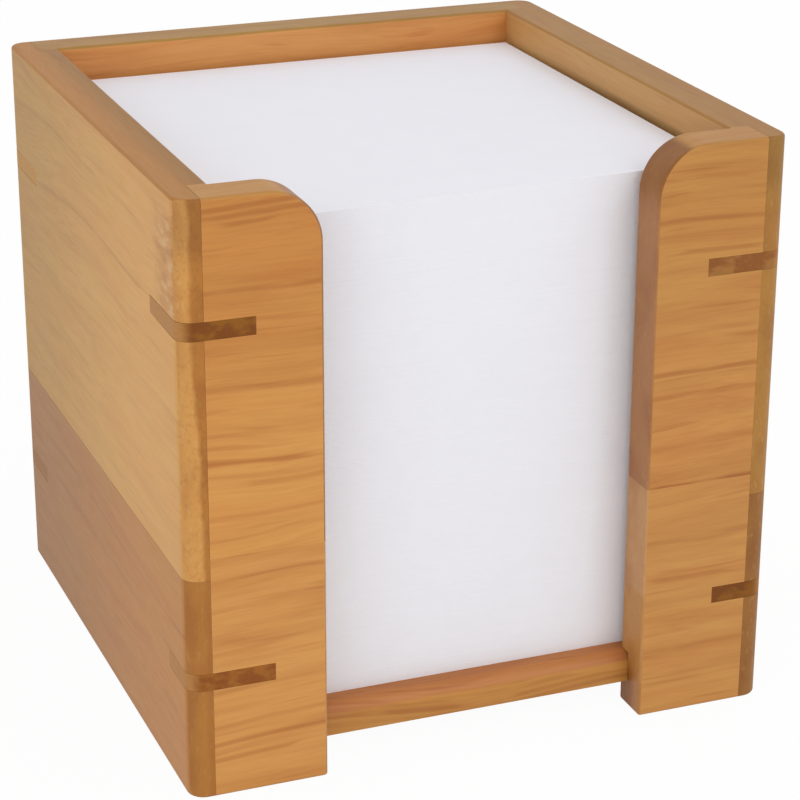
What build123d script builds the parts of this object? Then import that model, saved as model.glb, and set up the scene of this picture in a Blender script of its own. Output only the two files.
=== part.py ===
from build123d import *
import os
from math import radians, tan

# A desk holder for square note paper: four wooden walls round a raised floor panel, with the
# middle of the front left open so that the stack can be gripped and the notes read.
# Millimetres, +Z up, the open front faces -Y, the origin is the middle of the footprint on the
# table. Every wall is glued up from two boards, the side boards are rabbeted to take the
# ends of the stiles and of the back boards, and wedge-shaped splines lock each corner.

os.makedirs("parts", exist_ok=True)

# ---------------------------------------------------------------- driving dimensions

# note paper
SHEET_WIDTH = 90.0           # side of one square sheet
SHEET_THICKNESS = 0.1        # one loose sheet, the next one to be taken
STACK_HEIGHT = 87.6          # full stack with its top sheet
SIDE_CLEARANCE = 0.5         # gap between the stack and each side
END_CLEARANCE = 1.6          # gap between the stack and the back, and the stiles

# walls
WALL_THICKNESS = 7.75
LIP_THICKNESS = 4.2          # side board that stays standing outside the rabbet
STILE_WIDTH = 24.1           # front stile with the lip, from the outer face of the side
RIM_HEIGHT = 6.1             # wall top above the full stack
SIDE_SEAM_HEIGHT = 39.8      # glue line between the two boards of a side
END_SEAM_HEIGHT = 43.6       # glue line between the two boards of the stiles and the back

# rounded and eased edges
OUTER_CORNER_RADIUS = 3.0    # upright outer corners
STILE_CORNER_RADIUS = 9.1    # top inner corner of each stile
EDGE_EASING = 0.6            # every other edge that a hand can reach

# floor panel
FLOOR_UNDERSIDE = 4.7        # air below the panel
FLOOR_THICKNESS = 5.7
FLOOR_GROOVE_DEPTH = 3.0     # groove round the inside of the walls
FLOOR_CLEARANCE = 0.2        # between the panel's edge and the bottom of its groove
FLOOR_EDGE_RADIUS = 2.5      # front edge, seen between the stiles

# corner splines: a flat wedge in a saw kerf that runs across the outer corner
SPLINE_THICKNESS = 3.1
SPLINE_END_DISTANCE = 21.5   # middle of a spline from the nearer end of the corner
UPPER_SPLINE_SKIN = 0.7      # wood left between the kerf and the inner corner, square to a wall
LOWER_SPLINE_SKIN = 1.4
# angle in degrees between the kerf's inner edge and the front or back face
KERF_ANGLES = {
    "front_left_upper": 51.0,
    "front_left_lower": 36.0,
    "front_right_upper": 44.0,
    "front_right_lower": 56.0,
    "back_left_upper": 56.0,
    "back_left_lower": 53.0,
    "back_right_upper": 48.0,
    "back_right_lower": 41.0,
}

# ---------------------------------------------------------------- derived sizes

# distances from the middle, across (x) and front to back (y)
sheet_half = SHEET_WIDTH / 2
cavity_x = sheet_half + SIDE_CLEARANCE
cavity_y = sheet_half + END_CLEARANCE
outer_x = cavity_x + WALL_THICKNESS
outer_y = cavity_y + WALL_THICKNESS
groove_x = cavity_x + FLOOR_GROOVE_DEPTH
groove_y = cavity_y + FLOOR_GROOVE_DEPTH
rabbet_x = outer_x - LIP_THICKNESS
opening_x = outer_x - STILE_WIDTH

# heights
floor_top = FLOOR_UNDERSIDE + FLOOR_THICKNESS
stack_top = floor_top + STACK_HEIGHT
height = stack_top + RIM_HEIGHT

corner_radius = min(OUTER_CORNER_RADIUS, LIP_THICKNESS - EDGE_EASING / 2)

NEAR = 1e-4                  # tolerance for picking edges


# ---------------------------------------------------------------- helpers

def block(x_range, y_range, z_range):
    """A box between two corners, given as a low and a high value on each axis."""
    low = Vector(x_range[0], y_range[0], z_range[0])
    high = Vector(x_range[1], y_range[1], z_range[1])
    size = high - low
    return Pos(*((low + high) / 2)) * Box(size.X, size.Y, size.Z)


def centred_block(reach_x, reach_y, z_range):
    """A box centred on the upright axis, given as its reach to each side of it."""
    return block((-reach_x, reach_x), (-reach_y, reach_y), z_range)


def is_near(value, target):
    return abs(value - target) < NEAR


def save(node, solid):
    solid.label = node
    export_step(solid, f"parts/{node}.step")
    print(f"{node:28s} {solid.volume / 1000:9.3f} cm3")


# ---------------------------------------------------------------- the four walls as one form

def is_stile_crown(edge):
    """The two edges along Y where the crowns of the stiles will be rounded."""
    middle = edge @ 0.5
    return is_near(abs(middle.X), opening_x) and is_near(middle.Z, height)


def is_eased(edge):
    """True for the reachable edges: both rims and the outline of each stile."""
    middle = edge @ 0.5
    along_y = is_near((edge % 0.5).Y ** 2, 1.0)
    on_stile = middle.Y < -cavity_y + NEAR
    if is_near(middle.Z, 0.0):
        return True
    if is_near(middle.Z, height):
        return not (on_stile and along_y and abs(middle.X) < cavity_x - NEAR)
    crown = on_stile and edge.geom_type == GeomType.CIRCLE
    upright = on_stile and is_near(abs(middle.X), opening_x) and not along_y
    return crown or upright


def wall_form():
    """The finished walls before they are parted into boards along the glue lines."""
    form = extrude(RectangleRounded(2 * outer_x, 2 * outer_y, corner_radius), height)
    form -= centred_block(cavity_x, cavity_y, (0, height))
    form -= block((-opening_x, opening_x), (-outer_y, -cavity_y), (0, height))
    crown_radius = min(STILE_CORNER_RADIUS, (STILE_WIDTH - WALL_THICKNESS) * 0.6)
    form = fillet(form.edges().filter_by(is_stile_crown), crown_radius)
    form = fillet(form.edges().filter_by(is_eased), EDGE_EASING)
    return form - centred_block(groove_x, groove_y, (FLOOR_UNDERSIDE, floor_top))


# ---------------------------------------------------------------- corner splines

def kerf(name):
    """A triangular plate across one corner; its inner edge just misses the inner corner."""
    end, side, level = name.split("_")
    sign_x = -1 if side == "left" else 1
    sign_y = -1 if end == "front" else 1
    skin = UPPER_SPLINE_SKIN if level == "upper" else LOWER_SPLINE_SKIN
    middle = height - SPLINE_END_DISTANCE if level == "upper" else SPLINE_END_DISTANCE
    depth = WALL_THICKNESS - skin
    slope = tan(radians(KERF_ANGLES[name]))
    reach_x = depth * (1 + 1 / slope)
    reach_y = depth * (1 + slope)
    corner = (sign_x * outer_x, sign_y * outer_y)
    outline = Polyline(corner, (sign_x * (outer_x - reach_x), sign_y * outer_y),
                       (sign_x * outer_x, sign_y * (outer_y - reach_y)), close=True)
    plate = extrude(make_face(outline), SPLINE_THICKNESS / 2, both=True, dir=(0, 0, 1))
    return Pos(0, 0, middle) * plate


# ---------------------------------------------------------------- boards

def side_region(sign_x, z_range):
    """The space of one side board: full depth, with a rabbet at each end."""
    x_range = sorted((sign_x * outer_x, sign_x * cavity_x))
    rabbet_range = sorted((sign_x * rabbet_x, sign_x * cavity_x))
    region = block(x_range, (-outer_y, outer_y), z_range)
    region -= block(rabbet_range, (-outer_y, -cavity_y), z_range)
    return region - block(rabbet_range, (cavity_y, outer_y), z_range)


def stile_region(sign_x, z_range):
    """The space of one stile board, from its rabbet to the open front."""
    x_range = sorted((sign_x * rabbet_x, sign_x * opening_x))
    return block(x_range, (-outer_y, -cavity_y), z_range)


def back_region(z_range):
    """The space of one back board, from rabbet to rabbet."""
    return block((-rabbet_x, rabbet_x), (cavity_y, outer_y), z_range)


def board_regions():
    """Every board's name and the space that it takes, lower and upper."""
    side_levels = {"lower": (0, SIDE_SEAM_HEIGHT), "upper": (SIDE_SEAM_HEIGHT, height)}
    end_levels = {"lower": (0, END_SEAM_HEIGHT), "upper": (END_SEAM_HEIGHT, height)}
    regions = {}
    for hand, sign_x in (("left", -1), ("right", 1)):
        for level, z_range in side_levels.items():
            regions[f"{hand}_side_{level}_board"] = side_region(sign_x, z_range)
        for level, z_range in end_levels.items():
            regions[f"front_{hand}_stile_{level}_board"] = stile_region(sign_x, z_range)
    for level, z_range in end_levels.items():
        regions[f"back_{level}_board"] = back_region(z_range)
    return regions


def floor_panel():
    """The raised floor, held in the groove on all sides and rounded at its open front."""
    panel = centred_block(groove_x - FLOOR_CLEARANCE, groove_y - FLOOR_CLEARANCE,
                          (FLOOR_UNDERSIDE, floor_top))
    front_top = panel.edges().filter_by(Axis.X).group_by(Axis.Z)[-1].sort_by(Axis.Y)[0]
    return fillet(front_top, min(FLOOR_EDGE_RADIUS, FLOOR_THICKNESS / 2))


# ---------------------------------------------------------------- note paper

def paper(z_range):
    """Square sheets of paper that lie in the middle of the holder."""
    return centred_block(sheet_half, sheet_half, z_range)


# ---------------------------------------------------------------- build and write

walls = wall_form()
kerfs = {name: kerf(name) for name in KERF_ANGLES}

for node, region in board_regions().items():
    board = walls & region
    for plate in kerfs.values():
        board -= plate
    save(node, board.solid())

for name, plate in kerfs.items():
    save(f"{name}_spline", (walls & plate).solid())

save("floor_panel", floor_panel().solid())

save("note_stack", paper((floor_top, stack_top - SHEET_THICKNESS)).solid())
save("top_sheet", paper((stack_top - SHEET_THICKNESS, stack_top)).solid())

print(f"overall {2 * outer_x:.2f} x {2 * outer_y:.2f} x {height:.2f} mm")
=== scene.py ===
"""A memo pad holder: an open-fronted box glued up from oiled alder boards, with dark walnut splines
across its corners, filled with square white note sheets. Lengths are in metres, or in millimetres
where a name ends in _MM."""

import math
from typing import NamedTuple

import bmesh
import bpy
from mathutils import Matrix, Vector


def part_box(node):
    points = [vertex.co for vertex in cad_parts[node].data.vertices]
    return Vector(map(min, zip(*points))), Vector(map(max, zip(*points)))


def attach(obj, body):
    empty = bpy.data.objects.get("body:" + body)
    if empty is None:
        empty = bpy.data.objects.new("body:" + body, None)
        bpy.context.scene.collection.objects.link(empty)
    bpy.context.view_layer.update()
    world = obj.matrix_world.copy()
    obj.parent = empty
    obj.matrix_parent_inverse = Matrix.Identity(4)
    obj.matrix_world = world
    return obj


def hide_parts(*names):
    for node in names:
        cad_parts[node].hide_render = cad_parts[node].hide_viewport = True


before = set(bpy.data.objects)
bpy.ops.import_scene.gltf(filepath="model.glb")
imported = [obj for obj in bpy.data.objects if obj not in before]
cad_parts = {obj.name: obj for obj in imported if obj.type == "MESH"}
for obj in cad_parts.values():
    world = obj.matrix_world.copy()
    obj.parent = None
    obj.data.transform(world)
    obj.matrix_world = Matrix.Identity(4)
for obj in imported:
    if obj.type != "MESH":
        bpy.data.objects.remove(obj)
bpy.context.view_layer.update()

MM = 0.001
PER_MM = (1 / MM, 1 / MM, 1 / MM)
ALONG_X = (1, 0, 0)
ALONG_Y = (0, 1, 0)
ALONG_Z = (0, 0, 1)

# camera, at the photograph's viewing angle
CAMERA_AZIMUTH = -21.33
CAMERA_ELEVATION = 21.42
CAMERA_ROLL = 0.163
CAMERA_PLACE_MM = (-159.08, -419.95, 220.60)
CAMERA_LENS_MM = 117.15
SENSOR_WIDTH_MM = 36.0

# studio
WHITE = "#ffffff"
SKY = "#fcfcff"
SKY_STRENGTH = 0.79
KEY_PLACE = (0.30, -0.85, 0.60)
KEY_POWER = 1.75
FILL_PLACE = (-0.75, -0.60, 0.40)
FILL_POWER = 0.7
LAMP_SIZE = 0.5
LAMP_TARGET = (0, 0, 0.05)       # the middle of the object
TABLE = "#fbfbfb"
TABLE_SIZE = 3.0
TABLE_GLOW = 0.96

# form of the boards and splines
WELD = 0.001 * MM                # corners of a CAD mesh that are nearer than this are one corner
FLAT_ANGLE = math.radians(0.3)   # triangles that turn less than this are one flat face
SHARP_ANGLE = math.radians(40)
BROKEN_ARRIS = 0.09 * MM         # sanded edge of every board, so that the glue lines show
ARRIS_STEPS = 2
ARRIS_PROFILE = 0.5              # a part of a circle
SMOOTH_ANGLE = math.radians(25)

# form of the paper
SHEET_PITCH = 0.1 * MM
SHEET_PAPER = 0.0975 * MM        # the rest of the pitch is air between two loose sheets
SHEET_CELLS = 4                  # squares along each side of a sheet, so that it can bend
SHEET_SHIFT = 0.02 * MM
SHEET_TURN = math.radians(0.03)
SHEET_DRIFT = 0.12 * MM
DRIFT_SCALE = 90.0               # the drift changes about this many times in a metre of height
DRIFT_DETAIL = 3.0
STACK_LEAN = 0.25 * MM           # the whole stack has slid this far towards the left side
CORNER_SAG = 1.6 * MM            # the stack's top lies this much lower at its front left corner
SHEET_SEED = 7


# ---------------------------------------------------------------- finishes

class Pattern(NamedTuple):
    """Patches of one size in a material. They show from the low value of the noise that draws them,
    and have their whole share of the colour from the high one."""
    size_mm: tuple
    low: float = 0.0
    high: float = 1.0
    share: float = 1.0
    detail: float = 1.0
    roughness: float = 0.5


# long faces of a board
GRAIN_WANDER = Pattern((60, 30, 30))
WARM_BANDS = Pattern((40, 7, 7), 0.42, 0.62, share=0.8)
DEEP_BANDS = Pattern((120, 10, 10), 0.42, 0.66, share=0.35)
SOFT_BANDS = Pattern((42, 2.6, 2.6), 0.40, 0.68, share=0.6)
DARK_STREAKS = Pattern((24, 0.9, 0.9), 0.58, 0.78, share=0.8)
FIBRES = Pattern((9, 0.4, 0.4), 0.35, 0.70, share=0.2, detail=2.0)
LINE_FADE = Pattern((12, 2.2, 2.2), 0.30, 0.50, detail=0.0)
TORN_MARKS = Pattern((3.6, 2.0, 1.5), 0.54, 0.66, share=0.6)

# sawn ends of a board
SAWN_PATCHES = Pattern((6, 6, 9), 0.40, 0.68, share=0.5, detail=2.0)
SPECKLE = Pattern((0.9, 0.6, 0.9), 0.50, 0.68, detail=2.0, roughness=0.7)
FLECKS = Pattern((1.2, 0.7, 1.6), 0.60, 0.74, share=0.6)

# splines
MOTTLE = Pattern((3.4, 3.4, 2.0), 0.36, 0.60, detail=2.0, roughness=0.6)
SLIP_FIBRES = Pattern((2.2, 0.3, 0.3), 0.45, 0.70, share=0.3, detail=2.0)

# paper; its felt is drawn at 0.4 mm, coarser than real fibres, so that it shows
CLOUDS = Pattern((6, 6, 6), 0.3, 0.7, detail=2.0)
FELT = Pattern((0.4, 0.4, 0.4), detail=2.0)

# factors of a colour, for what darkens it
WARM_BAND = "#fdf0e8"
STREAK = "#dfc9b8"
RIM_SHADE = "#dfe1d9"
JOINT_DARK = "#d8c595"
LAST_RING = "#f9f1d1"
# painted shade on a stile's end grain at its foot, below the floor panel
FOOT_SHADE = "#c6a954"
# painted shadow on a side wall's inner face, just above the paper
PAPER_SHADOW = "#cfcfcc"
TORN = "#efe5dc"
CLOUD = "#fefefe"

PALE_FLECK = "#d9b47c"
# the paper's cut edges painted darker and its top lighter: painted shade and light
SHADED_PAPER_EDGE = "#f0f0f3"
LIT_PAPER_TOP = "#f7f7fb"

# where each mark of a board begins, and where it is full
# on the left side boards the change towards the back is painted shade
TONE_AND_SHADE_BACKWARD = (-50 * MM, 56 * MM)
TONE_UPWARD = (52 * MM, 98 * MM)
RIM_SHADE_INWARD = (2.0 * MM, -2.5 * MM)     # from the joint beside the lip
JOINT_DARK_INWARD = (2.1 * MM, 1.1 * MM)          # from the same joint
JOINT_DARK_WIDENS_UPWARD = (45 * MM, 85 * MM)
JOINT_DARK_DEEPENS_UPWARD = (94 * MM, 100 * MM)
TOP_UPWARD = (91 * MM, 99 * MM)
LAST_RING_DOWNWARD = (24.2 * MM, 22.8 * MM)
# painted shade at a stile's foot, fading out towards the front
FOOT_SHADE_DOWNWARD = (10.5 * MM, 5.5 * MM)
FOOT_SHADE_BACKWARD = (-53.5 * MM, -49.5 * MM)
# painted shadow line on a side wall's inner face, above the paper
PAPER_SHADOW_FORWARD = (60 * MM, -20 * MM)
PAPER_SHADOW_INWARD = (46.2 * MM, 45.8 * MM)
TORN_FORWARD = (-40 * MM, -47 * MM)
TORN_UPWARD = (80 * MM, 86 * MM)
TORN_DOWNWARD = (102.5 * MM, 99 * MM)

JOINT_DARK_WIDENS = 1.1 * MM
JOINT_DARK_DEEPENS = 0.15
JOINT_DARK_RAGGED = 1.2 * MM          # how far the darker band's edge comes and goes, and over what length
JOINT_DARK_RAGGED_LENGTH = 4 * MM
PAPER_SHADOW_HEIGHT = 98.3 * MM        # painted shadow line, just above the top of a full stack
PAPER_SHADOW_WIDTH = (1.3 * MM, 0.2 * MM)
GROWTH_LINE_WIDTH_MM = (0.75, 0.15)
GRAIN_SWING_MM = 9.0
TORN_PALE = (0.46, 0.32)
TORN_PALE_SHARE = 0.45

# how squarely a surface faces a direction, where it begins to count as turned there, and fully
TURNED_UP = (0.15, 0.50)
TURNED_ENDWAYS = (0.25, 0.45)
SLIP_TURNED_SIDEWAYS = (0.12, 0.92)
PAPER_TURNED_UP = (0.3, 0.7)

# shine and relief
WOOD_IOR = 1.48
OILED_ROUGHNESS = (0.42, 0.56)   # between and on the fibres
OILED_SPECULAR = 0.4
SLIP_ROUGHNESS = 0.6
SLIP_SPECULAR = 0.3
WOOD_RELIEF = {"Strength": 0.5, "Distance": 0.04 * MM}
PAPER_IOR = 1.45
PAPER_ROUGHNESS = 0.85
PAPER_RELIEF = {"Strength": 0.25, "Distance": 0.01 * MM}


class Board(NamedTuple):
    """What tells one board's wood from another's."""
    grain: tuple                 # direction of its grain
    shift_mm: tuple              # where in the log its figure is taken from
    face: str                    # colour of its long faces
    rim: str                     # colour of its top
    end: str                     # colour where it is sawn across
    # on the left side boards the far colour is painted shade, darker towards the back
    far: str = ""                # what its long faces change to, at the back or high up
    strength: float = 0.55       # how clearly the long grain shows
    streak: str = STREAK
    flecks: float = 0.2          # how flecked the sawn end is
    rim_shade: float = 0.0       # how much darker the rim's inner half is
    joint_darkening: float = 0.0           # how dark the joint beside the rabbet is
    top: str = ""                # factor of the sawn end near the rim, where that is darker
    foot: bool = False           # whether the sawn end is darker at the foot, in painted shade
    torn: bool = False           # whether the grain is torn beside the front edge
    paper_shadow: bool = False         # whether the inner face has a painted shadow line above the paper
    lines: tuple = ()            # growth lines that stand out: height in millimetres, and share


BOARDS = {
    # the left side boards' far colours are painted shade towards the back
    "left_side_upper_board": Board(
        ALONG_Y, (0, 0, 0), "#dca453", "#b57a27", "#d1964b", far="#b98b3d", strength=0.45,
        streak="#e7dfd7", flecks=0.35, rim_shade=1.0, joint_darkening=1.0, top="#ebebef", torn=True,
        lines=((95.5, 0.4), (83.2, 0.6), (66.0, 0.3))),
    "left_side_lower_board": Board(
        ALONG_Y, (310, 40, 12), "#c08132", "#af7d3e", "#b0732b", far="#a36f31", strength=0.45,
        streak="#e7dbd0", flecks=0.15, rim_shade=1.0, joint_darkening=0.3, lines=((30.5, 0.4), (24.0, 0.4))),
    "right_side_upper_board": Board(
        ALONG_Y, (620, 80, 24), "#c59657", "#a8762c", "#ab7830", far="#cd9e60", strength=0.5,
        streak="#e7dfd7", top="#e4e7e4", paper_shadow=True),
    "right_side_lower_board": Board(
        ALONG_Y, (930, 120, 36), "#b2844a", "#ad7f3a", "#966224", far="#ba8b52", strength=0.5,
        streak="#e7dfd7"),
    "front_left_stile_upper_board": Board(
        ALONG_X, (200, 300, 0), "#d6994c", "#c49044", "#a67348", far="#c9893f",
        lines=((102.6, 0.7), (101.2, 0.7), (99.7, 0.7), (88.0, 0.6), (82.6, 0.4),
               (70.6, 0.4), (67.2, 0.4), (60.6, 1.0), (57.0, 0.5), (51.5, 0.4))),
    "front_left_stile_lower_board": Board(
        ALONG_X, (510, 340, 12), "#d4984e", "#c49048", "#c3915e", foot=True,
        lines=((38.0, 0.4), (33.4, 0.5), (21.0, 0.3), (14.2, 0.4), (10.5, 0.8), (7.2, 0.7))),
    "front_right_stile_upper_board": Board(
        ALONG_X, (820, 380, 24), "#c98e47", "#c08b41", "#ab7546", far="#c08740", top="#dbcd86",
        lines=((99.3, 0.4), (96.6, 0.3), (91.0, 0.5), (84.6, 0.6), (69.6, 0.6),
               (64.6, 0.8), (60.4, 0.5), (51.8, 0.3), (44.6, 1.0))),
    "front_right_stile_lower_board": Board(
        ALONG_X, (130, 420, 36), "#c99049", "#c49048", "#c3915e", foot=True,
        lines=((40.6, 0.3), (34.0, 0.4), (27.0, 0.5), (12.6, 0.3), (6.0, 0.3))),
    "back_upper_board": Board(
        ALONG_X, (440, 460, 48), "#d69552", "#ac8138", "#b08058", strength=0.6, flecks=0.4),
    "back_lower_board": Board(
        ALONG_X, (750, 500, 60), "#ca8b4b", "#a87f39", "#b08058", strength=0.6, flecks=0.4),
    "floor_panel": Board(
        ALONG_X, (60, 540, 72), "#ca9347", "#c68549", "#a06838", strength=0.65, flecks=0.4,
        lines=((8.6, 0.5), (7.0, 0.6), (5.6, 0.4))),
}

# colours of each spline, on its front or back end and on its side
SPLINES = {
    "front_left_upper_spline": ("#8e570c", "#b78144"),
    "front_left_lower_spline": ("#9d5f1b", "#b78144"),
    "front_right_upper_spline": ("#a06c31", "#b78144"),
    "front_right_lower_spline": ("#875205", "#b78144"),
    "back_left_upper_spline": ("#905419", "#bd8e4b"),
    "back_left_lower_spline": ("#905419", "#9e7040"),
    "back_right_upper_spline": ("#905419", "#b78144"),
    "back_right_lower_spline": ("#905419", "#b78144"),
}
SPLINE_SPACING_MM = 37           # how far apart in the plank two splines' figures are taken


# ---------------------------------------------------------------- nodes and colours

def paint(hex_code):
    """An sRGB hex colour as linear RGBA."""
    channels = [int(hex_code[i:i + 2], 16) / 255 for i in (1, 3, 5)]
    linear = [c / 12.92 if c <= 0.04045 else ((c + 0.055) / 1.055) ** 2.4 for c in channels]
    return (*linear, 1.0)


def add(tree, kind, inputs=None, **settings):
    """Adds a node, sets its properties, and fills its inputs with values, with links, or with the
    first output of other nodes."""
    node = tree.nodes.new(kind)
    for name, value in settings.items():
        setattr(node, name, value)
    for key, value in (inputs or {}).items():
        if isinstance(value, bpy.types.Node):
            value = value.outputs[0]
        if isinstance(value, bpy.types.NodeSocket):
            tree.links.new(value, node.inputs[key])
        else:
            node.inputs[key].default_value = value
    return node


def new_material(name):
    """An empty node material and its tree."""
    material = bpy.data.materials.new(name)
    material.use_nodes = True
    material.node_tree.nodes.clear()
    return material, material.node_tree


def object_point(tree):
    """The shaded point, in the object's coordinates."""
    return add(tree, "ShaderNodeTexCoord").outputs["Object"]


def object_place(tree):
    """The shaded point's X, Y and Z."""
    return add(tree, "ShaderNodeSeparateXYZ", {0: object_point(tree)}).outputs


def reach_sideways(tree):
    """The distance from the middle of the object, to the left or to the right."""
    return add(tree, "ShaderNodeMath", {0: object_place(tree)["X"]}, operation="ABSOLUTE")


def facing(tree, axis):
    """How squarely the surface faces along an axis of the object, 0 to 1."""
    source = add(tree, "ShaderNodeTexCoord")
    along = add(tree, "ShaderNodeVectorMath", {0: source.outputs["Normal"], 1: axis},
                operation="DOT_PRODUCT")
    return add(tree, "ShaderNodeMath", {0: along.outputs["Value"]}, operation="ABSOLUTE")


def between(tree, value, low, high, top=1.0):
    """0 below low and top above high, with a smooth turn between them."""
    return add(tree, "ShaderNodeMapRange",
               {"Value": value, "From Min": low, "From Max": high, "To Min": 0.0, "To Max": top},
               interpolation_type="SMOOTHSTEP")


def figure(tree, place, pattern, output="Fac"):
    """The noise that draws a pattern, at its real length, width and depth in the material."""
    scale = tuple(1 / side for side in pattern.size_mm)
    stretched = add(tree, "ShaderNodeVectorMath", {0: place, 1: scale}, operation="MULTIPLY")
    noise = add(tree, "ShaderNodeTexNoise",
                {"Vector": stretched, "Scale": 1.0, "Detail": pattern.detail,
                 "Roughness": pattern.roughness})
    return noise.outputs[output]


def patches(tree, place, pattern, strength=1.0):
    """Where a pattern's patches lie, and with what share of the colour."""
    return between(tree, figure(tree, place, pattern), pattern.low, pattern.high,
                   pattern.share * strength)


def tint(tree, share, base, colour, blend="MIX"):
    """The base colour with a share of another mixed in."""
    mix = add(tree, "ShaderNodeMix", {0: share, 6: base, 7: colour}, data_type="RGBA",
              blend_type=blend)
    return mix.outputs[2]


def darken(tree, share, base, factor):
    """The base colour taken down, by a share, towards a factor of itself."""
    return tint(tree, share, base, paint(factor), "MULTIPLY")


def surface(tree, colour, height, relief, shine):
    """The shader of a material: its colour, how deep its relief is, and how it shines."""
    bump = add(tree, "ShaderNodeBump", {"Height": height, **relief})
    shader = add(tree, "ShaderNodeBsdfPrincipled", {"Base Color": colour, "Normal": bump, **shine})
    add(tree, "ShaderNodeOutputMaterial", {"Surface": shader})


# ---------------------------------------------------------------- wood

def grain_coordinates(tree, grain, shift_mm):
    """Object coordinates in millimetres, turned so that X runs along the grain, first with a slow
    wander of a few degrees as in a real board and then without it."""
    turn = math.radians(-90) if grain == ALONG_Y else 0.0
    straight = add(tree, "ShaderNodeMapping",
                   {"Vector": object_point(tree), "Location": shift_mm, "Rotation": (0, 0, turn),
                    "Scale": PER_MM})
    wander = figure(tree, straight, GRAIN_WANDER, output="Color")
    centred = add(tree, "ShaderNodeVectorMath", {0: wander, 1: (0.5, 0.5, 0.5)},
                  operation="SUBTRACT")
    swing = (0.0, GRAIN_SWING_MM, GRAIN_SWING_MM)
    bent = add(tree, "ShaderNodeVectorMath", {0: centred, 1: swing, 2: straight},
               operation="MULTIPLY_ADD")
    return bent, straight


def tone_and_shade_change(tree, grain):
    """How far a face has changed to its far tone: side boards change towards the back, where the
    left side's darker far tone is painted shade, and stiles towards the rim."""
    place = object_place(tree)
    if grain == ALONG_Y:
        return between(tree, place["Y"], *TONE_AND_SHADE_BACKWARD)
    return between(tree, place["Z"], *TONE_UPWARD)


def rim_colour(tree, board, joint):
    """The colour of a wall's top; the left side's is darker on its inner half."""
    outer, inner = RIM_SHADE_INWARD
    share = between(tree, reach_sideways(tree), joint + outer, joint + inner, board.rim_shade)
    return darken(tree, share, paint(board.rim), RIM_SHADE)


def long_grain(tree, bent, colour, board):
    """Adds what a planed long face shows: slow warm bands, softer and darker bands a few millimetres
    apart, and short dark fibre streaks."""
    colour = darken(tree, patches(tree, bent, WARM_BANDS, board.strength), colour, WARM_BAND)
    for pattern in (DEEP_BANDS, SOFT_BANDS, DARK_STREAKS):
        colour = darken(tree, patches(tree, bent, pattern, board.strength), colour, board.streak)
    return colour


def level_line(tree, height, level, width, share=1.0):
    """A line along one level, out to the first width from it and full within the second."""
    above = add(tree, "ShaderNodeMath", {0: height, 1: level}, operation="SUBTRACT")
    away = add(tree, "ShaderNodeMath", {0: above}, operation="ABSOLUTE")
    return between(tree, away, *width, share)


def growth_lines(tree, bent, colour, board):
    """Adds the strongest growth lines, at the heights that the photograph shows, each fading in and
    out along the grain."""
    height = add(tree, "ShaderNodeSeparateXYZ", {0: bent}).outputs["Z"]
    fade = figure(tree, bent, LINE_FADE)
    for level_mm, share in board.lines:
        shown = between(tree, fade, LINE_FADE.low, LINE_FADE.high, share)
        line = level_line(tree, height, level_mm + board.shift_mm[2], GROWTH_LINE_WIDTH_MM, shown)
        colour = darken(tree, line, colour, board.streak)
    return colour


def paper_shadow_line(tree, colour):
    """Painted shadow: a dark line along a side wall's inner face, just above the top of a full
    stack, strongest towards the front."""
    place = object_place(tree)
    ahead = between(tree, place["Y"], *PAPER_SHADOW_FORWARD)
    inside = between(tree, reach_sideways(tree), *PAPER_SHADOW_INWARD, ahead)
    mark = level_line(tree, place["Z"], PAPER_SHADOW_HEIGHT, PAPER_SHADOW_WIDTH, inside)
    return darken(tree, mark, colour, PAPER_SHADOW)


def torn_edge(tree, straight, colour, streak):
    """Small pale and dark marks, a millimetre or two high, where the router tore the grain beside a
    side board's rounded front edge."""
    place = object_place(tree)
    beside = between(tree, place["Y"], *TORN_FORWARD)
    above = between(tree, place["Z"], *TORN_UPWARD, beside)
    zone = between(tree, place["Z"], *TORN_DOWNWARD, above)
    colour = darken(tree, zone, colour, TORN)
    marks = figure(tree, straight, TORN_MARKS)
    dark = add(tree, "ShaderNodeMath",
               {0: between(tree, marks, TORN_MARKS.low, TORN_MARKS.high, TORN_MARKS.share), 1: zone},
               operation="MULTIPLY")
    colour = darken(tree, dark, colour, streak)
    pale = add(tree, "ShaderNodeMath",
               {0: between(tree, marks, *TORN_PALE, TORN_PALE_SHARE), 1: zone},
               operation="MULTIPLY")
    return tint(tree, pale, colour, paint(PALE_FLECK))


def end_grain(tree, straight, colour, flecks):
    """Adds what a sawn end shows: soft darker patches, and fine pale and dark flecks."""
    colour = darken(tree, patches(tree, straight, SAWN_PATCHES), colour, STREAK)
    colour = darken(tree, patches(tree, straight, SPECKLE, flecks), colour, STREAK)
    return tint(tree, patches(tree, straight, FLECKS, flecks), colour, paint(PALE_FLECK))


def last_ring_and_foot_shade(tree, colour):
    """Darkens the lower end of a stile's end grain: below its last growth line, and again at the
    foot, with painted shade where the floor panel keeps the light off, all but beside the front."""
    place = object_place(tree)
    colour = darken(tree, between(tree, place["Z"], *LAST_RING_DOWNWARD), colour, LAST_RING)
    behind = between(tree, place["Y"], *FOOT_SHADE_BACKWARD)
    return darken(tree, between(tree, place["Z"], *FOOT_SHADE_DOWNWARD, behind), colour, FOOT_SHADE)


def darker_top(tree, colour, factor):
    """Darkens a board's end grain near the rim, where hands have worn it."""
    return darken(tree, between(tree, object_place(tree)["Z"], *TOP_UPWARD), colour, factor)


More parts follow.
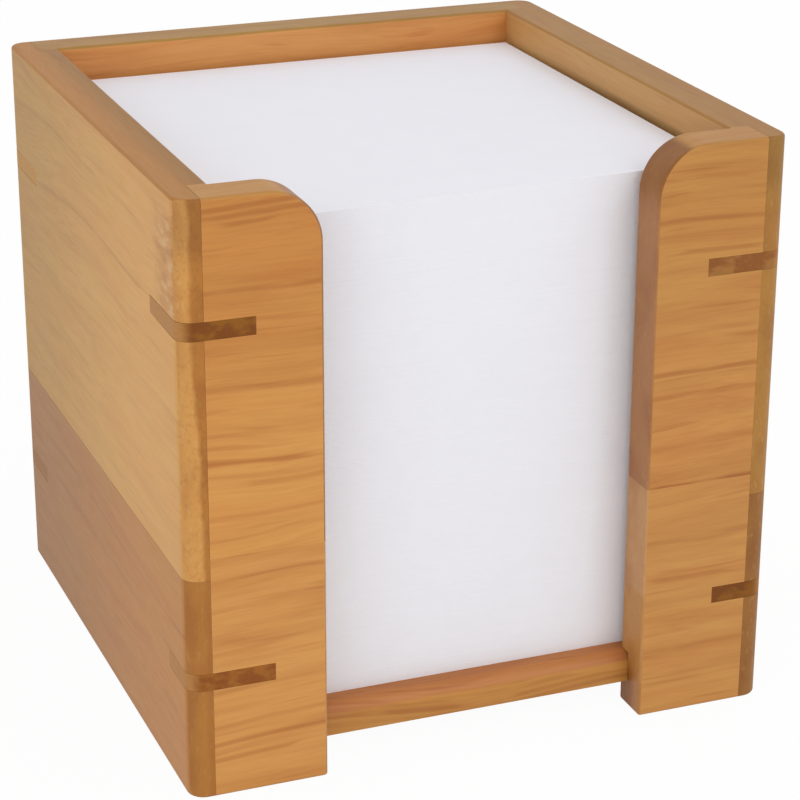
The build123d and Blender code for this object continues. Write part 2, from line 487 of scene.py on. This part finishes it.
def joint_line(tree, colour, joint, strength):
    """Darkens a side board's end beside its rabbet: a darker band with a ragged edge, wider towards
    the rim and a little darker at the very top."""
    height = object_place(tree)["Z"]
    wider = between(tree, height, *JOINT_DARK_WIDENS_UPWARD, -JOINT_DARK_WIDENS)
    reach = add(tree, "ShaderNodeMath", {0: reach_sideways(tree), 1: wider}, operation="ADD")
    ragged = add(tree, "ShaderNodeTexNoise",
                 {"Vector": object_point(tree), "Scale": 1 / JOINT_DARK_RAGGED_LENGTH})
    edge = add(tree, "ShaderNodeMath", {0: ragged, 1: JOINT_DARK_RAGGED, 2: reach},
               operation="MULTIPLY_ADD")
    outer, inner = JOINT_DARK_INWARD
    share = between(tree, edge, joint + outer, joint + inner, strength)
    colour = darken(tree, share, colour, JOINT_DARK)
    above = between(tree, height, *JOINT_DARK_DEEPENS_UPWARD, JOINT_DARK_DEEPENS)
    top = add(tree, "ShaderNodeMath", {0: share, 1: above}, operation="MULTIPLY")
    return darken(tree, top, colour, JOINT_DARK)


def planed_wood(tree, bent, straight, fibres, board, joint):
    """The colour of a board's long faces and of its rim."""
    colour = paint(board.face)
    if board.far:
        # far tone; on the left side boards it is painted shade towards the back
        colour = tint(tree, tone_and_shade_change(tree, board.grain), colour, paint(board.far))
    # painted shadow line above the paper's top
    if board.paper_shadow:
        colour = paper_shadow_line(tree, colour)
    upward = between(tree, facing(tree, ALONG_Z), *TURNED_UP)
    colour = tint(tree, upward, colour, rim_colour(tree, board, joint))
    colour = long_grain(tree, bent, colour, board)
    fine = between(tree, fibres, FIBRES.low, FIBRES.high, FIBRES.share)
    colour = darken(tree, fine, colour, board.streak)
    colour = growth_lines(tree, bent, colour, board)
    if board.torn:
        colour = torn_edge(tree, straight, colour, board.streak)
    return colour


def sawn_wood(tree, straight, board, joint):
    """The colour of a board's sawn ends."""
    colour = end_grain(tree, straight, paint(board.end), board.flecks)
    # a darker last ring, and painted shade at the foot
    if board.foot:
        colour = last_ring_and_foot_shade(tree, colour)
    if board.top:
        colour = darker_top(tree, colour, board.top)
    if board.joint_darkening:
        colour = joint_line(tree, colour, joint, board.joint_darkening)
    return colour


def board_wood(name, board, joint):
    """Alder, planed, sanded and oiled: a warm satin wood with soft rings and short dark streaks
    along the grain, and golden, flecked end grain where the boards are cut across."""
    material, tree = new_material(name)
    bent, straight = grain_coordinates(tree, board.grain, board.shift_mm)
    fibres = figure(tree, bent, FIBRES)
    planed = planed_wood(tree, bent, straight, fibres, board, joint)
    sawn = sawn_wood(tree, straight, board, joint)
    endways = between(tree, facing(tree, board.grain), *TURNED_ENDWAYS)
    low, high = OILED_ROUGHNESS
    roughness = add(tree, "ShaderNodeMapRange", {"Value": fibres, "To Min": low, "To Max": high})
    surface(tree, tint(tree, endways, planed, sawn), fibres, WOOD_RELIEF,
            {"Roughness": roughness, "IOR": WOOD_IOR, "Specular IOR Level": OILED_SPECULAR})
    return material


def spline_wood(name, shift_mm, face, side):
    """Walnut slips, cut across at an angle by the corner and sanded flush: dark brown and mottled
    in front, because their grain meets both faces at about 45 degrees, and paler at the side."""
    material, tree = new_material(name)
    slip = add(tree, "ShaderNodeMapping",
               {"Vector": object_point(tree), "Location": shift_mm,
                "Rotation": (0, 0, math.radians(45)), "Scale": PER_MM})
    sideways = between(tree, facing(tree, ALONG_X), *SLIP_TURNED_SIDEWAYS)
    colour = tint(tree, sideways, paint(face), paint(side))
    in_front = add(tree, "ShaderNodeMath", {0: 1.0, 1: sideways}, operation="SUBTRACT")
    mottled = between(tree, figure(tree, slip, MOTTLE), MOTTLE.low, MOTTLE.high, in_front)
    colour = darken(tree, mottled, colour, STREAK)
    fibres = figure(tree, slip, SLIP_FIBRES)
    fine = between(tree, fibres, SLIP_FIBRES.low, SLIP_FIBRES.high, SLIP_FIBRES.share)
    surface(tree, darken(tree, fine, colour, STREAK), fibres, WOOD_RELIEF,
            {"Roughness": SLIP_ROUGHNESS, "IOR": WOOD_IOR, "Specular IOR Level": SLIP_SPECULAR})
    return material


# ---------------------------------------------------------------- paper

def sheet_paper(name):
    """Uncoated white writing paper: a matt, faintly cool white with a soft cloudiness and a fine
    felt of fibres; its cut edges are a little greyer and its top lighter, as painted shade and
    light."""
    material, tree = new_material(name)
    sheet = add(tree, "ShaderNodeMapping", {"Vector": object_point(tree), "Scale": PER_MM})
    upward = between(tree, facing(tree, ALONG_Z), *PAPER_TURNED_UP)
    colour = tint(tree, upward, paint(SHADED_PAPER_EDGE), paint(LIT_PAPER_TOP))
    colour = darken(tree, patches(tree, sheet, CLOUDS), colour, CLOUD)
    surface(tree, colour, figure(tree, sheet, FELT), PAPER_RELIEF,
            {"Roughness": PAPER_ROUGHNESS, "IOR": PAPER_IOR})
    return material


# ---------------------------------------------------------------- boards and splines

def new_object(name, data):
    """An object in the scene, for a mesh, a lamp or a lens."""
    thing = bpy.data.objects.new(name, data)
    bpy.context.scene.collection.objects.link(thing)
    return thing


def merged_mesh(node):
    """A CAD node's triangles joined into one closed mesh with whole flat faces."""
    form = bmesh.new()
    form.from_mesh(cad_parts[node].data)
    bmesh.ops.remove_doubles(form, verts=form.verts, dist=WELD)
    bmesh.ops.dissolve_limit(form, angle_limit=FLAT_ANGLE, verts=form.verts, edges=form.edges)
    return form


def break_arrises(form):
    """Takes the sharp edges off, as a stroke of sandpaper does."""
    sharp = [e for e in form.edges if e.is_manifold and e.calc_face_angle() > SHARP_ANGLE]
    bmesh.ops.bevel(form, geom=sharp, offset=BROKEN_ARRIS, offset_type="OFFSET",
                    segments=ARRIS_STEPS, profile=ARRIS_PROFILE, affect="EDGES", clamp_overlap=True)


def make_sanded_piece(node, material):
    """The piece seen in place of a CAD node: the same solid with its arrises broken."""
    form = merged_mesh(node)
    break_arrises(form)
    mesh = bpy.data.meshes.new(f"sanded_{node}")
    form.to_mesh(mesh)
    form.free()
    mesh.shade_smooth()
    mesh.set_sharp_from_angle(angle=SMOOTH_ANGLE)
    mesh.materials.append(material)
    piece = new_object(f"sanded_{node}", mesh)
    piece.modifiers.new("flat faces stay flat", "WEIGHTED_NORMAL").keep_sharp = True
    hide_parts(node)
    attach(piece, "holder")


def make_boards():
    """Every board. The joint beside a lip is where the right stile ends, or as far to the left."""
    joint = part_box("front_right_stile_upper_board")[1].x
    for node, board in BOARDS.items():
        make_sanded_piece(node, board_wood(f"oiled_alder_{node}", board, joint))


def make_splines():
    """Every spline, each with its own stretch of the same plank's figure."""
    for number, (node, (face, side)) in enumerate(SPLINES.items()):
        shift_mm = (SPLINE_SPACING_MM * number, 0, 0)
        make_sanded_piece(node, spline_wood(f"walnut_{node}", shift_mm, face, side))


# ---------------------------------------------------------------- note sheets

REAM_INPUTS = {
    "Sheets": "Int", "Width": "Float", "Paper": "Float", "Pitch": "Float", "Bottom": "Float",
    "Shift": "Float", "Drift": "Float", "Turn": "Float", "Lean": "Float", "Sag": "Float",
    "Foot": "Float", "Crown": "Float", "Seed": "Int", "Material": "Material",
}


def ream_tree():
    """Loose sheets, one above the other, each a little out of line with the next, and pressed
    closer together towards the front left corner."""
    tree = bpy.data.node_groups.new("ream of loose sheets", "GeometryNodeTree")
    tree.interface.new_socket("Geometry", in_out="OUTPUT", socket_type="NodeSocketGeometry")
    for name, kind in REAM_INPUTS.items():
        tree.interface.new_socket(name, in_out="INPUT", socket_type=f"NodeSocket{kind}")
    given = add(tree, "NodeGroupInput").outputs
    sheets = add(tree, "GeometryNodeInstanceOnPoints",
                 {"Points": sheet_levels(tree, given), "Instance": one_sheet(tree, given),
                  "Rotation": sheet_turn(tree, given)})
    shifted = add(tree, "GeometryNodeTranslateInstances",
                  {"Instances": sheets, "Translation": sheet_shift(tree, given)})
    real = add(tree, "GeometryNodeRealizeInstances", {"Geometry": shifted})
    pressed = add(tree, "GeometryNodeSetPosition",
                  {"Geometry": real, "Offset": corner_drop(tree, given)})
    painted = add(tree, "GeometryNodeSetMaterial",
                  {"Geometry": pressed, "Material": given["Material"]})
    add(tree, "NodeGroupOutput", {0: painted})
    return tree


def sheet_levels(tree, given):
    """A point for the middle of each sheet, all of them slid towards the left side."""
    left = add(tree, "ShaderNodeMath", {0: given["Lean"], 1: -1.0}, operation="MULTIPLY")
    lowest = add(tree, "ShaderNodeMath", {0: given["Pitch"], 1: 0.5, 2: given["Bottom"]},
                 operation="MULTIPLY_ADD")
    start = add(tree, "ShaderNodeCombineXYZ", {"X": left, "Z": lowest})
    step = add(tree, "ShaderNodeCombineXYZ", {"Z": given["Pitch"]})
    return add(tree, "GeometryNodeMeshLine",
               {"Count": given["Sheets"], "Start Location": start, "Offset": step})


def one_sheet(tree, given):
    """A square sheet, divided so that it can bend."""
    size = add(tree, "ShaderNodeCombineXYZ",
               {"X": given["Width"], "Y": given["Width"], "Z": given["Paper"]})
    return add(tree, "GeometryNodeMeshCube",
               {"Size": size, "Vertices X": SHEET_CELLS + 1, "Vertices Y": SHEET_CELLS + 1})


def sheet_turn(tree, given):
    """A small turn of each sheet of its own."""
    least = add(tree, "ShaderNodeMath", {0: given["Turn"], 1: -1.0}, operation="MULTIPLY")
    turn = add(tree, "FunctionNodeRandomValue", {2: least, 3: given["Turn"], "Seed": given["Seed"]},
               data_type="FLOAT")
    return add(tree, "ShaderNodeCombineXYZ", {"Z": turn.outputs[1]})


def sheet_shift(tree, given):
    """A small shift of each sheet of its own, on top of a slow drift up the stack."""
    flat = (1.0, 1.0, 0.0)
    loose = add(tree, "FunctionNodeRandomValue",
                {0: (-1.0, -1.0, 0.0), 1: flat, "Seed": given["Seed"]}, data_type="FLOAT_VECTOR")
    own = add(tree, "ShaderNodeVectorMath", {0: loose, "Scale": given["Shift"]}, operation="SCALE")
    wave = add(tree, "ShaderNodeTexNoise",
               {"Vector": add(tree, "GeometryNodeInputPosition"), "Scale": DRIFT_SCALE,
                "Detail": DRIFT_DETAIL})
    centred = add(tree, "ShaderNodeVectorMath", {0: wave.outputs["Color"], 1: (0.5, 0.5, 0.5)},
                  operation="SUBTRACT")
    level = add(tree, "ShaderNodeVectorMath", {0: centred, 1: flat}, operation="MULTIPLY")
    slow = add(tree, "ShaderNodeVectorMath", {0: level, "Scale": given["Drift"]}, operation="SCALE")
    return add(tree, "ShaderNodeVectorMath", {0: own, 1: slow}, operation="ADD")


def corner_drop(tree, given):
    """How far each point sinks: nothing at the foot, the back and the right of the stack, and the
    whole sag at the front left corner of its top."""
    place = add(tree, "ShaderNodeSeparateXYZ", {0: add(tree, "GeometryNodeInputPosition")})
    half, other_half = (add(tree, "ShaderNodeMath", {0: given["Width"], 1: share},
                            operation="MULTIPLY") for share in (0.5, -0.5))
    drop = given["Sag"]
    for axis, low, high in (("X", half, other_half), ("Y", half, other_half),
                            ("Z", given["Foot"], given["Crown"])):
        drop = add(tree, "ShaderNodeMapRange", {"Value": place.outputs[axis], "From Min": low,
                                                "From Max": high, "To Max": drop})
    down = add(tree, "ShaderNodeMath", {0: drop, 1: -1.0}, operation="MULTIPLY")
    return add(tree, "ShaderNodeCombineXYZ", {"Z": down})


def make_sheets(name, node, body, tree, values):
    """The sheets that stand in a CAD node's place, baked to one plain mesh."""
    low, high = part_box(node)
    carrier = new_object("ream", bpy.data.meshes.new("ream"))
    ream = carrier.modifiers.new("ream", "NODES")
    ream.node_group = tree
    values = {**values, "Sheets": round((high.z - low.z) / SHEET_PITCH), "Bottom": low.z,
              "Width": high.x - low.x}
    for socket in tree.interface.items_tree:
        if socket.in_out == "INPUT":
            ream[socket.identifier] = values[socket.name]
    shape = carrier.evaluated_get(bpy.context.evaluated_depsgraph_get())
    mesh = bpy.data.meshes.new_from_object(shape)
    bpy.data.objects.remove(carrier)
    sheets = new_object(name, mesh)
    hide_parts(node)
    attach(sheets, body)


def make_paper():
    """The loose stack, and the top sheet that comes off it next."""
    values = {"Paper": SHEET_PAPER, "Pitch": SHEET_PITCH, "Shift": SHEET_SHIFT,
              "Drift": SHEET_DRIFT, "Turn": SHEET_TURN, "Lean": STACK_LEAN, "Sag": CORNER_SAG,
              "Foot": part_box("note_stack")[0].z, "Crown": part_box("top_sheet")[1].z,
              "Seed": SHEET_SEED, "Material": sheet_paper("uncoated_white_paper")}
    tree = ream_tree()
    make_sheets("loose_sheets", "note_stack", "stack", tree, values)
    make_sheets("top_note_sheet", "top_sheet", "sheet", tree, values)


# ---------------------------------------------------------------- studio

def make_camera():
    """The photograph's view, as its azimuth, elevation and roll."""
    azimuth, elevation, roll = map(math.radians, (CAMERA_AZIMUTH, CAMERA_ELEVATION, CAMERA_ROLL))
    back = Vector((math.sin(azimuth) * math.cos(elevation),
                   -math.cos(azimuth) * math.cos(elevation), math.sin(elevation)))
    level = Vector((math.cos(azimuth), math.sin(azimuth), 0.0))
    upright = back.cross(level)
    right = math.cos(roll) * level + math.sin(roll) * upright
    up = back.cross(right)
    lens = bpy.data.cameras.new("photo_camera")
    lens.sensor_width = SENSOR_WIDTH_MM
    lens.lens = CAMERA_LENS_MM
    camera = new_object("photo_camera", lens)
    camera.matrix_world = (Matrix.Translation(Vector(CAMERA_PLACE_MM) * MM)
                           @ Matrix((right, up, back)).transposed().to_4x4())
    bpy.context.scene.camera = camera


def shown_white(tree):
    """1 for the rays that show the surroundings: camera, glossy and transmission rays."""
    path = add(tree, "ShaderNodeLightPath").outputs
    seen = add(tree, "ShaderNodeMath", {0: path["Is Camera Ray"], 1: path["Is Glossy Ray"]},
               operation="MAXIMUM")
    return add(tree, "ShaderNodeMath", {0: seen, 1: path["Is Transmission Ray"]},
               operation="MAXIMUM")


def make_sky():
    """An even white surround that lights the object softly and is itself seen as white."""
    world = bpy.data.worlds.new("white studio")
    world.use_nodes = True
    tree = world.node_tree
    tree.nodes.clear()
    light = add(tree, "ShaderNodeBackground", {"Color": paint(SKY), "Strength": SKY_STRENGTH})
    white = add(tree, "ShaderNodeBackground", {"Color": paint(WHITE), "Strength": 1.0})
    both = add(tree, "ShaderNodeMixShader", {0: shown_white(tree), 1: light, 2: white})
    add(tree, "ShaderNodeOutputWorld", {"Surface": both})
    bpy.context.scene.world = world


def make_table():
    """White matt table top. What the camera sees of it glows a little, so that it runs into the
    white background, and the rest of it takes the object's shadow."""
    material, tree = new_material("matt_white_table")
    diffuse = add(tree, "ShaderNodeBsdfDiffuse", {"Color": paint(TABLE)})
    glow = add(tree, "ShaderNodeEmission", {"Color": paint(WHITE), "Strength": 1.0})
    share = add(tree, "ShaderNodeMath", {0: shown_white(tree), 1: TABLE_GLOW}, operation="MULTIPLY")
    both = add(tree, "ShaderNodeMixShader", {0: share, 1: diffuse, 2: glow})
    add(tree, "ShaderNodeOutputMaterial", {"Surface": both})
    half = TABLE_SIZE / 2
    mesh = bpy.data.meshes.new("table_top")
    mesh.from_pydata([(-half, -half, 0), (half, -half, 0), (half, half, 0), (-half, half, 0)], [],
                     [(0, 1, 2, 3)])
    mesh.materials.append(material)
    new_object("table_top", mesh)


def make_lamp(name, place, power):
    """A soft square lamp that points at the middle of the object."""
    lamp = bpy.data.lights.new(name, "AREA")
    lamp.size = LAMP_SIZE
    lamp.energy = power
    holder = new_object(name, lamp)
    holder.location = place
    away = Vector(place) - Vector(LAMP_TARGET)
    holder.rotation_euler = away.to_track_quat("Z", "Y").to_euler()


# ---------------------------------------------------------------- the whole scene

make_camera()
make_sky()
make_table()
make_lamp("soft_key", KEY_PLACE, KEY_POWER)
make_lamp("soft_fill", FILL_PLACE, FILL_POWER)
bpy.context.scene.view_settings.view_transform = "Standard"

make_boards()
make_splines()
make_paper()
